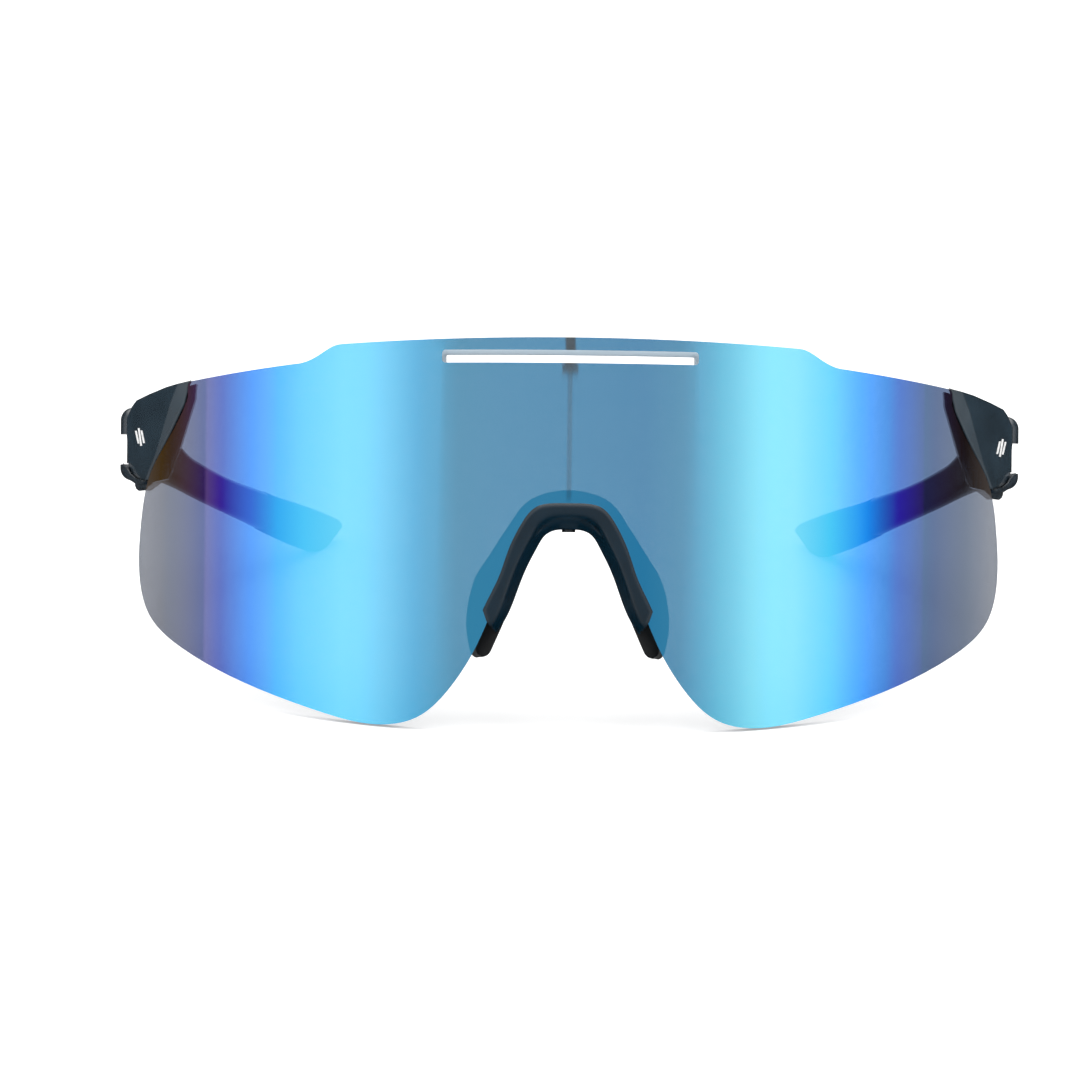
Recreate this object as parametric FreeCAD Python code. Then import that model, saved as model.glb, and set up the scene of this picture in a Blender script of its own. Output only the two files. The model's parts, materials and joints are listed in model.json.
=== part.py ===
import FreeCAD, Part
import math
import os

# Wraparound sport sunglasses: one cylindrical shield lens, a nose clip with a soft saddle
# pad, two end pieces and two hinged temples. All lengths in mm, all angles in degrees.
# Everything is drawn upright around the lens: X across the face, Y back along the temples
# from the middle of the lens front, Z up. At the end the whole pair is leaned back so it
# stands on the two lens lobes and the two temple tips.

V = FreeCAD.Vector

# ---- driving dimensions -------------------------------------------------------------
LENS_RADIUS = 88.0        # front face of the shield, a cylinder about a vertical line
LENS_THICK = 1.8
BACK_RADIUS = LENS_RADIUS - LENS_THICK
SLOT_HALF = 19.85         # vent slot, half its width
SLOT_LOW, SLOT_HIGH = 27.25, 29.25
SLOT_RAKE = 0.75          # how far its upper wall drops from front to back

CLIP_LIP = 1.2            # nose clip lips in front of and behind the lens
PAD_DEPTH = 11.0          # soft saddle behind the clip

COVER_WALL = 1.5
FLANGE_THICK = 1.4        # clamp flange behind the lens

HINGE_X, HINGE_Y = 72.2, 50.0
TONGUE_LOW, TONGUE_HIGH = 12.3, 17.0
TONGUE_RADIUS = 3.4
PRONG_GAP = 0.2           # between the tongue and each prong
PRONG_RADIUS = 4.5
PRONG_BOTTOM, PRONG_TOP = 9.3, 21.9
PRONG_ROUND = 2.2         # softening of the prongs' outer rims
SWEEP_RADIUS = 4.85       # room left round the hinge line

SCREW_RADIUS = 1.0        # M2 hinge screw
HEAD_RADIUS, HEAD_HEIGHT = 1.8, 0.9
RUNNING_FIT = 0.05
INSERT_RADIUS = 1.6

CORE_RADIUS = 0.8         # wire inside the rubber temple tip


# ---- small builders -----------------------------------------------------------------
def curve(points):
    """Smooth edge through points."""
    spline = Part.BSplineCurve()
    spline.interpolate(Points=points)
    return spline.toShape()


def front(pairs, y=0.0):
    """(x, z) pairs as points on an upright plane."""
    return [V(x, y, z) for x, z in pairs]


def flipped(pairs):
    """The same outline on the other side, walked backwards."""
    return [(-x, z) for x, z in reversed(pairs)]


def outline_prism(edges, y_from, y_to):
    """Solid swept straight back from a closed front outline."""
    face = Part.Face(Part.Wire(edges))
    solid = face.extrude(V(0, y_to - y_from, 0))
    solid.translate(V(0, y_from, 0))
    return solid


def polygon_prism(pairs, y_from, y_to):
    """Solid swept straight back from straight-sided (x, z) corners."""
    corners = front(pairs + pairs[:1])
    return outline_prism(Part.makePolygon(corners).Edges, y_from, y_to)


def side_prism(pairs, x_from, x_to):
    """Solid swept straight across from straight-sided (y, z) corners."""
    corners = [V(x_from, y, z) for y, z in pairs + pairs[:1]]
    face = Part.Face(Part.makePolygon(corners))
    return face.extrude(V(x_to - x_from, 0, 0))


def bar(radius, start, end):
    """Round bar between two points."""
    axis = end - start
    return Part.makeCylinder(radius, axis.Length, start, axis)


def shell(outer, inner, low=-60.0, high=60.0):
    """Upright ring about the lens axis."""
    base = V(0, LENS_RADIUS, low)
    ring = Part.makeCylinder(outer, high - low, base)
    return ring.cut(Part.makeCylinder(inner, high - low, base))


def depth(x, radius=LENS_RADIUS):
    """How far back the cylinder of this radius is at x."""
    return LENS_RADIUS - math.sqrt(radius * radius - x * x)


def mirrored(shape):
    return shape.mirror(V(0, 0, 0), V(1, 0, 0))


def one_solid(shape):
    """The biggest solid of a result, cleaned of leftover seams."""
    solid = max(shape.Solids, key=lambda item: item.Volume)
    return solid.removeSplitter()


# ---- shield lens --------------------------------------------------------------------
BROW = [(-35.8, 30.3), (0, 31.2), (35.8, 30.3)]
STEP = [(35.8, 30.3), (37.6, 29.8), (39.4, 28.7), (41.2, 27.8), (43.4, 27.35)]
SHOULDER = [(43.4, 27.35), (52.0, 26.4), (61.2, 25.2)]
CORNER = [(61.2, 25.2), (61.9, 24.9), (62.15, 24.2), (62.2, 22.4)]
LOBE = [(62.2, 22.4), (65.8, 15.9), (69.3, 10.2), (71.1, 2.0), (71.4, -5.5), (69.4, -12.8),
        (62.5, -18.4), (50.7, -23.6), (38.5, -27.4), (29.2, -29.0), (23.2, -27.7),
        (18.4, -23.4), (14.2, -16.8), (8.9, -4.5), (4.2, 2.0)]
BRIDGE = [(4.2, 2.0), (2.2, 3.0), (0, 3.3), (-2.2, 3.0), (-4.2, 2.0)]


def lens_outline():
    right = [STEP, SHOULDER, CORNER, LOBE]
    runs = [BROW] + right + [BRIDGE] + [flipped(run) for run in reversed(right)]
    return [curve(front(run)) for run in runs]


def make_slot():
    """Vent slot: constant height at the front, upper wall raked, ends radial."""
    ahead, behind = LENS_RADIUS + 0.6, BACK_RADIUS - 0.1
    slope = SLOT_RAKE / LENS_THICK
    profile = [(ahead, SLOT_LOW), (behind, SLOT_LOW),
               (behind, SLOT_HIGH - slope * (LENS_RADIUS - behind)),
               (ahead, SLOT_HIGH + slope * (ahead - LENS_RADIUS))]
    half = math.degrees(math.asin(SLOT_HALF / LENS_RADIUS))
    corners = [V(0, LENS_RADIUS - r, z) for r, z in profile]
    face = Part.Face(Part.makePolygon(corners + corners[:1]))
    axis = V(0, LENS_RADIUS, 0)
    face.rotate(axis, V(0, 0, 1), -half)
    slot = face.revolve(axis, V(0, 0, 1), 2 * half)
    ends = [e for e in slot.Edges
            if e.BoundBox.ZLength < 1.4 and e.Length < 5.0 and abs(e.CenterOfMass.x) > SLOT_HALF - 2.0]
    return slot.makeFillet(0.55, ends)


OUTLINE_PRISM = outline_prism(lens_outline(), -5.0, 60.0)
FRONT_OF_LENS = OUTLINE_PRISM.cut(
    Part.makeCylinder(BACK_RADIUS, 120.0, V(0, LENS_RADIUS, -60.0)))

lens = OUTLINE_PRISM.common(shell(LENS_RADIUS, BACK_RADIUS)).cut(make_slot())
lens = one_solid(lens)

# ---- nose clip, saddle pad and the screw under the bridge ----------------------------
# Half outlines, from the top of the bridge down one leg; the foot closes them at a slant.
CLIP_OUTER = [(0, 5.65), (3.3, 5.55), (4.9, 5.1), (6.2, 4.0), (7.6, 1.85), (8.95, -0.9), (10.8, -6.1),
              (12.0, -8.6), (13.1, -10.9)]
CLIP_FOOT = (12.5, -12.6)
CLIP_INNER = [(0, 1.6), (1.9, 1.5), (3.4, 0.85), (4.85, -1.25), (6.0, -3.45), (7.45, -6.9), (8.6, -10.1),
              (11.1, -14.5)]
# Middle line of the saddle's wall, from the bridge down to the foot of one leg: it starts close
# round the nose opening and flares outwards and up towards the face.
PAD_NEAR = [(0, 4.2), (3.4, 3.3), (6.0, 0.4), (7.7, -3.6), (9.2, -7.6), (10.5, -11.6), (11.8, -14.6),
            (13.0, -17.0)]
PAD_FAR = [(0, 7.0), (5.8, 5.5), (9.1, 1.2), (11.6, -2.6), (14.0, -6.4), (15.0, -10.0), (15.2, -13.8),
           (14.4, -17.6)]
PAD_WALL = 2.6
BOSS_HALF, BOSS_FRONT, BOSS_BACK = 2.1, 2.2, 5.2
CLIP_SCREW_Y = 3.5


def over_the_top(half, y=0.0):
    """Smooth edge up one leg of a mirrored half outline, over the bridge and down the other."""
    return curve(front(half[::-1] + [(-x, z) for x, z in half[1:]], y))


def opening(y, grow):
    """Closed outline of the nose opening, widened by grow; its foot runs below the legs."""
    half = [(x * (1 + grow / 9.0), -10 + (z + 10) * (1 + grow / 11.7)) for x, z in CLIP_INNER]
    x, z = half[-1]
    foot = front([(-x, z), (-x - 2.5, -24), (x + 2.5, -24), (x, z)], y)
    sides = [Part.makeLine(a, b) for a, b in zip(foot, foot[1:])]
    return Part.Wire([over_the_top(half, y)] + sides)


def clip_foot(side):
    """The two slanted lines that close the end of one leg."""
    corners = [CLIP_OUTER[-1], CLIP_FOOT, CLIP_INNER[-1]]
    a, b, c = front([(side * x, z) for x, z in corners])
    return [Part.makeLine(a, b), Part.makeLine(b, c)]


clip_edges = [over_the_top(CLIP_OUTER)] + clip_foot(-1) + [over_the_top(CLIP_INNER)] + clip_foot(1)
clip_shape = outline_prism(Part.sortEdges(clip_edges)[0], -4.0, 20.0)
clip_band = shell(LENS_RADIUS + CLIP_LIP, BACK_RADIUS - CLIP_LIP)
boss = Part.makeBox(2 * BOSS_HALF, BOSS_BACK - BOSS_FRONT, 3.4, V(-BOSS_HALF, BOSS_FRONT, 1.75))
boss = boss.makeFillet(0.7, [e for e in boss.Edges if e.BoundBox.ZLength > 3 and e.BoundBox.YMin > 5])
clip_body = clip_shape.common(clip_band).fuse(boss.cut(FRONT_OF_LENS)).cut(lens)
clip_slope = Part.makeLoft([opening(-3.0, 3.4), opening(2.0, 0.1)], True, True)
clip_body = clip_body.cut(clip_slope)

screw_base = V(0, CLIP_SCREW_Y, 1.2)
clip_shank = Part.makeCylinder(0.65, 3.3, screw_base)
clip_screw = clip_shank.fuse(Part.makeCylinder(1.05, 0.6, screw_base))
drive_slot = Part.makeBox(1.6, 0.36, 0.3, V(-0.8, CLIP_SCREW_Y - 0.18, 1.15))
nose_clip_screw = one_solid(clip_screw.cut(drive_slot))
nose_clip = one_solid(clip_body.cut(clip_screw))

def saddle_outline(half, wall, y):
    """Even wall on both sides of a mirrored middle line, with a round foot on each leg."""
    line = half[::-1] + [(-x, z) for x, z in half[1:]]
    over, under, feet = [], [], []
    for index, (x, z) in enumerate(line):
        ahead, behind = line[min(index + 1, len(line) - 1)], line[max(index - 1, 0)]
        along = V(ahead[0] - behind[0], 0, ahead[1] - behind[1]).normalize()
        side = V(along.z, 0, -along.x) * (wall / 2)
        over.append(V(x, y, z) + side)
        under.append(V(x, y, z) - side)
        feet.append(V(x, y, z) + along * (wall / 2) * (1 if index else -1))
    return Part.Wire([curve(over), Part.Arc(over[-1], feet[-1], under[-1]).toShape(),
                      curve(under[::-1]), Part.Arc(under[0], feet[0], over[0]).toShape()])


pad = Part.makeLoft([saddle_outline(PAD_NEAR, PAD_WALL, 2.0),
                     saddle_outline(PAD_FAR, PAD_WALL, 3.0 + PAD_DEPTH)], True, True)
inside_clip = Part.makeCylinder(BACK_RADIUS - CLIP_LIP, 120.0, V(0, LENS_RADIUS, -60.0))
screw_room = Part.makeBox(4.6, 3.8, 6.0, V(-2.3, 1.8, -2.0))
nose_pad = one_solid(pad.common(inside_clip).cut(boss).cut(screw_room))

# ---- end piece and its outer cover (wearer's left, +X) --------------------------------
# Level by level: height, lens edge x, crease x between the front band and the side.
LEVELS = [(7.4, 70.2, 71.2), (9.4, 69.5, 70.4), (13.4, 67.4, 68.4), (17.6, 64.8, 66.9),
          (21.5, 62.7, 65.6), (25.4, 61.6, 63.9)]
COVER_REAR_X, COVER_REAR_Y = 75.0, 45.2
BODY_REAR_Y = 46.0
BODY_INNER_X = 68.6
COVER_FRONT = [(60, 26), (62, 25.25), (66.5, 24.5), (70.0, 23.6), (72.9, 22.7), (73.8, 21.8),
               (75.2, 19.5), (74.5, 11.9), (73.7, 10.6), (72.6, 9.8), (70.7, 9.2), (60, 9.1)]
SILL_FRONT = [(76, 12.6), (74.6, 11.6), (73.6, 10.4), (72.4, 9.6), (70.4, 9.1), (66, 9.0),
              (66, 8.3), (72.6, 8.7), (74.4, 9.6), (75.4, 10.9), (76, 12.1)]
BODY_FRONT = [(60, 23.9), (66.5, 23.4), (72.0, 21.9), (74.0, 20.6), (74.0, 9.4), (73.2, 7.9),
              (72.5, 7.5), (70.8, 7.6), (69.2, 8.9), (66, 9.3), (60, 20)]
FLANGE_FRONT = [(61.0, 24.8), (61.2, 22.3), (62.4, 18.9), (64.0, 14.3), (66.3, 9.4), (69.2, 8.9),
                (70.8, 7.9), (72.0, 7.9), (72.0, 19.0), (66.5, 23.4), (63.0, 24.4)]


def stacked(section):
    """Loft through one closed plan section per level."""
    wires = []
    for z, edge, crease in LEVELS:
        corners = [V(x, y, z) for x, y in section(edge, crease)]
        wires.append(Part.makePolygon(corners + corners[:1]))
    return Part.makeLoft(wires, True, True)


def cover_section(edge, crease):
    front_y, crease_y = depth(edge) + 0.5, depth(crease) + 0.3
    return [(edge + 0.1, front_y), (crease, crease_y), (COVER_REAR_X, COVER_REAR_Y),
            (COVER_REAR_X - COVER_WALL, COVER_REAR_Y), (crease - 0.6, crease_y + 1.9),
            (edge + 0.1, front_y + 1.6)]


def body_section(edge, crease):
    front_y, crease_y = depth(edge) + 0.5, depth(crease) + 0.3
    return [(edge + 0.1, front_y + 1.6), (crease - 0.6, crease_y + 1.9),
            (COVER_REAR_X - COVER_WALL, COVER_REAR_Y), (COVER_REAR_X - COVER_WALL, BODY_REAR_Y),
            (BODY_INNER_X, BODY_REAR_Y), (edge - 0.5, depth(edge - 0.5, BACK_RADIUS) + 2.4)]


def sill_section(edge, crease):
    """Rim below the cover, standing a little proud of it."""
    crease_y = depth(crease) + 0.3
    return [(crease - 0.6, crease_y - 0.1), (crease + 0.3, crease_y - 0.3),
            (COVER_REAR_X + 0.5, COVER_REAR_Y - 0.5), (COVER_REAR_X + 0.5, BODY_REAR_Y),
            (BODY_INNER_X + 2.0, BODY_REAR_Y), (crease - 0.6, crease_y + 3.0)]


def hinge_cylinder(radius, low, high):
    return Part.makeCylinder(radius, high - low, V(HINGE_X, HINGE_Y, low))


def cover_screw(z, y):
    """Small screw from inside the end piece into the cover, and the hole it sits in."""
    outward = V(0.853, -0.522, 0)
    reach = V(COVER_REAR_X - 2.4 - (COVER_REAR_Y - y) * 0.60, y, z)
    head = reach - outward * 2.6
    shank = bar(0.7, head, reach + outward * 1.2)
    screw = shank.fuse(bar(1.15, head, head + outward * 0.8))
    hole = shank.fuse(bar(1.15, head - outward * 4.0, head + outward * 0.8))
    drive = bar(0.45, head - outward * 0.1, head + outward * 0.5)
    return one_solid(screw.cut(drive)), hole


cover = stacked(cover_section).common(polygon_prism(COVER_FRONT, 20, 60)).cut(FRONT_OF_LENS)

body = stacked(body_section).common(polygon_prism(BODY_FRONT, 20, 60))
flange = shell(BACK_RADIUS, BACK_RADIUS - FLANGE_THICK).common(polygon_prism(FLANGE_FRONT, 20, 60))
sill = stacked(sill_section).common(polygon_prism(SILL_FRONT, 20, 60))
body = body.fuse(flange).fuse(sill).cut(FRONT_OF_LENS).cut(cover)
body = body.cut(hinge_cylinder(SWEEP_RADIUS, TONGUE_HIGH, 30.0))
body = body.cut(hinge_cylinder(SWEEP_RADIUS, 0.0, TONGUE_LOW))
tongue = hinge_cylinder(TONGUE_RADIUS, TONGUE_LOW, TONGUE_HIGH)
neck = Part.makeBox(4.6, 6.0, TONGUE_HIGH - TONGUE_LOW, V(HINGE_X - 2.8, HINGE_Y - 6.0, TONGUE_LOW))
body = body.fuse(tongue.fuse(neck)).cut(cover)
body = body.cut(hinge_cylinder(SCREW_RADIUS + RUNNING_FIT, 5.0, 22.0))

left_cover_screw, screw_hole = cover_screw(19.6, 39.5)
left_end_piece = one_solid(body.cut(screw_hole))
left_end_cover = one_solid(cover.cut(screw_hole))

# ---- temple: fork, bar, rubber tip, core wire, hinge screw and insert -----------------
# Station: y, centre x, centre z, width across, height.
ARM_STATIONS = [(52.8, 72.2, 15.2, 5.0, 11.0), (58.0, 71.4, 14.5, 4.6, 10.0),
                (66.0, 70.0, 12.6, 3.8, 7.6), (78.0, 67.8, 10.3, 3.2, 6.4),
                (92.0, 65.2, 8.3, 3.0, 6.3), (106.0, 62.6, 6.65, 3.0, 6.65),
                (120.0, 60.0, 5.1, 3.4, 7.3)]
TIP_STATIONS = [(120.0, 60.0, 5.1, 3.6, 7.5), (131.0, 57.7, 3.7, 4.2, 7.9),
                (144.0, 55.0, 2.35, 4.6, 8.5), (158.0, 51.8, 0.8, 4.6, 8.6),
                (173.0, 48.2, -0.9, 4.2, 8.5)]
# Seen from the side the tip ends in a slanted cut that rises to a blunt point.
TIP_SIDE = [(110, 20), (162.8, 20), (163.0, 4.6), (164.9, 3.9), (165.8, 3.0), (165.6, 2.2),
            (154.0, -2.7), (152.6, -3.2), (151.4, -4.0), (151.0, -20), (110, -20)]
CORE_POINTS = [(108.0, 62.2, 6.4), (120.0, 60.0, 5.1), (144.0, 55.0, 2.35), (157.0, 52.1, 1.3)]


def rounded_section(x, y, z, width, height, turn):
    """Rounded rectangle across the temple, turned to face along it."""
    r = 0.42 * min(width, height)
    points = []
    for quarter, (sx, sz) in enumerate(((1, 1), (-1, 1), (-1, -1), (1, -1))):
        for step in (0, 45, 90):
            angle = math.radians(90 * quarter + step)
            points.append(V(sx * (width / 2 - r) + r * math.cos(angle), 0,
                            sz * (height / 2 - r) + r * math.sin(angle)))
    edges = []
    for corner in range(4):
        start, mid, end = points[3 * corner:3 * corner + 3]
        edges.append(Part.Arc(start, mid, end).toShape())
        edges.append(Part.makeLine(end, points[(3 * corner + 3) % 12]))
    wire = Part.Wire(edges)
    wire.rotate(V(0, 0, 0), V(0, 0, 1), turn)
    wire.translate(V(x, y, z))
    return wire


def temple_loft(stations):
    wires = []
    for index, (y, x, z, width, height) in enumerate(stations):
        before = stations[max(index - 1, 0)]
        after = stations[min(index + 1, len(stations) - 1)]
        turn = -math.degrees(math.atan2(after[1] - before[1], after[0] - before[0]))
        wires.append(rounded_section(x, y, z, width, height, 0 if y < 55 else turn))
    return Part.makeLoft(wires, True, False)


core_path = Part.Wire([curve([V(x, y, z) for y, x, z in CORE_POINTS])])
core_start = core_path.Edges[0]
core_circle = Part.Circle(core_start.valueAt(core_start.FirstParameter),
                          core_start.tangentAt(core_start.FirstParameter), CORE_RADIUS)
core_wire = core_path.makePipeShell([Part.Wire([core_circle.toShape()])], True, False)
left_tip_core_wire = one_solid(core_wire)

root = Part.makeBox(5.0, 2.8, PRONG_TOP - PRONG_BOTTOM - 1.6,
                    V(HINGE_X - 2.5, HINGE_Y, PRONG_BOTTOM + 0.8))
prongs = hinge_cylinder(PRONG_RADIUS, PRONG_BOTTOM, PRONG_TOP)
prongs = prongs.makeFillet(PRONG_ROUND, [e for e in prongs.Edges if e.BoundBox.ZLength < 0.01])
arm = temple_loft(ARM_STATIONS).fuse(root).fuse(prongs)
slot_low, slot_high = TONGUE_LOW - PRONG_GAP, TONGUE_HIGH + PRONG_GAP
arm = arm.cut(hinge_cylinder(SWEEP_RADIUS, slot_low, slot_high))

hinge_screw = hinge_cylinder(SCREW_RADIUS, PRONG_BOTTOM + 0.3, PRONG_TOP - HEAD_HEIGHT)
hinge_screw = hinge_screw.fuse(hinge_cylinder(HEAD_RADIUS, PRONG_TOP - HEAD_HEIGHT, PRONG_TOP - 0.05))
socket = Part.makeBox(2.4, 0.5, 0.5, V(HINGE_X - 1.2, HINGE_Y - 0.25, PRONG_TOP - 0.5))
left_hinge_screw = one_solid(hinge_screw.cut(socket))

insert = hinge_cylinder(INSERT_RADIUS, PRONG_BOTTOM, slot_low)
left_hinge_insert = one_solid(insert.cut(hinge_cylinder(SCREW_RADIUS, 5.0, 15.0)))

arm = arm.cut(hinge_cylinder(SCREW_RADIUS, 15.0, 25.0))
arm = arm.cut(hinge_cylinder(HEAD_RADIUS, PRONG_TOP - HEAD_HEIGHT, 25.0))
arm = arm.cut(hinge_cylinder(INSERT_RADIUS, 5.0, slot_low)).cut(core_wire)
left_temple_arm = one_solid(arm)

tip = temple_loft(TIP_STATIONS).common(side_prism(TIP_SIDE, 30.0, 80.0))
left_temple_tip = one_solid(tip.cut(core_wire))

# ---- both sides, stood on the lobes and the tips, and written out ----------------------
nodes = {"lens": lens, "nose_clip": nose_clip, "nose_pad": nose_pad, "nose_clip_screw": nose_clip_screw}
LEFT = {"end_piece": left_end_piece, "end_cover": left_end_cover,
        "cover_screw": left_cover_screw, "temple_arm": left_temple_arm,
        "temple_tip": left_temple_tip, "tip_core_wire": left_tip_core_wire,
        "hinge_screw": left_hinge_screw, "hinge_insert": left_hinge_insert}
for name, shape in LEFT.items():
    nodes["left_" + name] = shape
    nodes["right_" + name] = mirrored(shape)


def leaned(shape, angle):
    copy = shape.copy()
    copy.rotate(V(0, 0, 0), V(1, 0, 0), -angle)
    return copy


def lowest(shape, angle):
    return leaned(shape, angle).optimalBoundingBox(False).ZMin


lean_low, lean_high = 5.0, 14.0
for _ in range(24):
    LEAN = (lean_low + lean_high) / 2
    if lowest(left_temple_tip, LEAN) > lowest(lens, LEAN):
        lean_low = LEAN
    else:
        lean_high = LEAN

boxes = [leaned(shape, LEAN).optimalBoundingBox(False) for shape in nodes.values()]
middle = (min(b.YMin for b in boxes) + max(b.YMax for b in boxes)) / 2
floor = min(b.ZMin for b in boxes)

os.makedirs("parts", exist_ok=True)
for name, shape in nodes.items():
    placed = leaned(shape, LEAN)
    placed.translate(V(0, -middle, -floor))
    placed.exportStep("parts/" + name + ".step")
    box = placed.optimalBoundingBox(False)
    print("%-22s solids %d valid %s volume %8.1f  x %.1f..%.1f y %.1f..%.1f z %.1f..%.1f" % (
        name, len(placed.Solids), placed.isValid(), placed.Volume, box.XMin, box.XMax,
        box.YMin, box.YMax, box.ZMin, box.ZMax))

t = math.radians(LEAN)
hinge = (HINGE_X, HINGE_Y * math.cos(t) - middle, -HINGE_Y * math.sin(t) - floor)
print("lean %.3f  middle %.3f  floor %.3f" % (LEAN, middle, floor))
print("hinge line through %.3f %.3f %.3f along 0 %.5f %.5f" % (hinge + (math.sin(t), math.cos(t))))
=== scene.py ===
# %% [markdown]
# # Wraparound sport sunglasses
# A one-piece mirrored shield lens, a nose clip with a soft saddle, two end pieces and two
# folding temples with rubber tips. The solid parts come ready made as a frame that isn't
# moved or reshaped. Each gets a finish here, and the soft and printed pieces are built round it.

# %% Load the frame
import json
import math
import bmesh
import bpy
from mathutils import Matrix, Vector
from mathutils.bvhtree import BVHTree


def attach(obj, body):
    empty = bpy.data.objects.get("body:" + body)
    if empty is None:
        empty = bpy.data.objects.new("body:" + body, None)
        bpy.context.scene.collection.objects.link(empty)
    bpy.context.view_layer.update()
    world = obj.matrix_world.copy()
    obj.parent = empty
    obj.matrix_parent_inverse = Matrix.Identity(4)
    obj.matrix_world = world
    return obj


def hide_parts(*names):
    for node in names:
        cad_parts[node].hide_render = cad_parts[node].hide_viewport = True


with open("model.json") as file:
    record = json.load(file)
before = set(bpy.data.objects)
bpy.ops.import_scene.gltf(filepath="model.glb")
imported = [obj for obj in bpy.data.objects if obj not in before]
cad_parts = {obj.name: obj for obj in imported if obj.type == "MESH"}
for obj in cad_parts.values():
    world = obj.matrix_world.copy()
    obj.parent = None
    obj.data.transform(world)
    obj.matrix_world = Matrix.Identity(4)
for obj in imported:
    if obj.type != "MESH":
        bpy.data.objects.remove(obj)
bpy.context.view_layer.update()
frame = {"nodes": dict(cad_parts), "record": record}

nodes = frame["nodes"]

# %% [markdown]
# ## A frame of reference
# The pair stands leaned back a little, on its two lens lobes and its temple tips. It is easier
# to think of the lens upright: x across the face, y back from the middle of the lens front, z up
# from the line of sight. The hinge pin is upright in that view, so its direction gives the lean,
# and its place gives the lens centre. One matrix then turns upright millimetres into the scene.

# %% Upright coordinates
HINGE_MM = Vector((72.2, 50.0, 14.65))
hinge = frame["record"]["behaviour"]["joints"][0]
LEAN = math.atan2(hinge["axis"][1], hinge["axis"][2])
tilt = Matrix.Rotation(-LEAN, 4, "X")
lens_origin = Vector(hinge["pos_m"]) - tilt @ (HINGE_MM / 1000)
to_scene = Matrix.Translation(lens_origin) @ tilt
to_upright = to_scene.inverted()


def upright(x, y, z):
    """A point in upright millimetres, as a point in the scene."""
    return to_scene @ Vector((x / 1000, y / 1000, z / 1000))


print("lean %.2f degrees" % math.degrees(LEAN), [round(v, 4) for v in lens_origin])

# %% [markdown]
# ## Camera and room
# The pair is seen from straight in front of the lens, along its own line of sight, with a long
# lens from less than half a metre. The room is a plain white studio: a white floor, an even white
# surround that the mirror and the gloss pick up, and one large soft lamp overhead
# that gives the tops a little shape and the lobes a thin shadow where they touch the floor.

# %% Camera
DISTANCE_MM = 450.0
camera_data = bpy.data.cameras.new("studio_camera")
camera_data.sensor_width = 36.0
camera_data.lens = 97.5
camera_data.shift_x = -0.0264
camera_data.clip_start = 0.01
camera = bpy.data.objects.new("studio_camera", camera_data)
bpy.context.scene.collection.objects.link(camera)
roll = Matrix.Rotation(math.radians(-0.6), 4, "Y")
face_lens = Matrix.Rotation(math.radians(90), 4, "X")
stand_off = Matrix.Translation((0, -DISTANCE_MM / 1000, 0))
camera.matrix_world = to_scene @ stand_off @ roll @ face_lens
bpy.context.scene.camera = camera
print("camera at", [round(v, 3) for v in camera.matrix_world.translation])

# %% Colour ramps
def fill_ramp(ramp_node, stops):
    """Puts (place, colour or grey) stops on a colour ramp."""
    ramp = ramp_node.color_ramp
    for place, colour in stops[1:-1]:
        ramp.elements.new(place)
    for element, (place, colour) in zip(ramp.elements, stops):
        rgb = colour if isinstance(colour, tuple) else (colour, colour, colour)
        element.position = place
        element.color = (*rgb, 1.0)


# %% Floor
FLOOR_HALF = 6.0
floor_mesh = bpy.data.meshes.new("studio_floor")
floor_mesh.from_pydata([(-FLOOR_HALF, -FLOOR_HALF, 0), (FLOOR_HALF, -FLOOR_HALF, 0),
                        (FLOOR_HALF, FLOOR_HALF, 0), (-FLOOR_HALF, FLOOR_HALF, 0)],
                       [], [(0, 1, 2, 3)])
floor = bpy.data.objects.new("studio_floor", floor_mesh)
bpy.context.scene.collection.objects.link(floor)

floor_paint = bpy.data.materials.new("floor_white")
floor_paint.use_nodes = True
floor_shader = floor_paint.node_tree.nodes["Principled BSDF"]
floor_shader.inputs["Base Color"].default_value = (0.9, 0.9, 0.9, 1)
floor_shader.inputs["Roughness"].default_value = 0.9
floor_shader.inputs["Specular IOR Level"].default_value = 0.0
floor_shader.inputs["Emission Color"].default_value = (1, 1, 1, 1)
floor_shader.inputs["Emission Strength"].default_value = 0.3
floor.visible_glossy = False
floor_mesh.materials.append(floor_paint)
print("floor %.0f m wide" % (2 * FLOOR_HALF))

# %% [markdown]
# ### What the gloss reflects
# The backdrop is plain white to the eye. Reflections see a studio instead: white walls, two
# dark cards beside the pair, a dimmer front where the camera stands, a bright ceiling and
# little light from below. The direction of the reflected ray picks its brightness.

# %% Surround
WHITE = 1.12
# Place from straight behind (0) round to straight in front (1), and brightness there.
WALLS_AND_CARDS = [(0.00, 1.0), (0.07, 1.0), (0.12, 0.04), (0.34, 0.04), (0.37, 0.35),
                   (0.43, 0.35), (0.50, 1.0), (0.74, 1.0), (0.86, 0.375), (1.00, 0.375)]
world = bpy.data.worlds.new("white_surround")
bpy.context.scene.world = world
world.use_nodes = True
tree = world.node_tree
tree.nodes.clear()
link = tree.links.new
studio_frame = tree.nodes.new("NodeFrame"); studio_frame.label = "studio as the gloss sees it"
looking = tree.nodes.new("ShaderNodeTexCoord"); looking.label = "direction into the room"
looking.location = (-1100, 0)
heading = tree.nodes.new("ShaderNodeSeparateXYZ"); heading.label = "sideways and backwards"
heading.location = (-900, 0)
sideways = tree.nodes.new("ShaderNodeMath"); sideways.label = "left and right alike"
sideways.location = (-700, 80)
sideways.operation = "ABSOLUTE"
turn = tree.nodes.new("ShaderNodeMath"); turn.label = "angle from straight behind"
turn.location = (-500, 80)
turn.operation = "ARCTAN2"
room_light = tree.nodes.new("ShaderNodeValToRGB")
room_light.label = "white walls, dark cards, dim front"
room_light.location = (-300, 80)
fill_ramp(room_light, WALLS_AND_CARDS)
per_turn = tree.nodes.new("ShaderNodeMath"); per_turn.label = "half a turn is 1"
per_turn.location = (-400, -120)
per_turn.operation = "DIVIDE"
per_turn.inputs[1].default_value = math.pi
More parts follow.
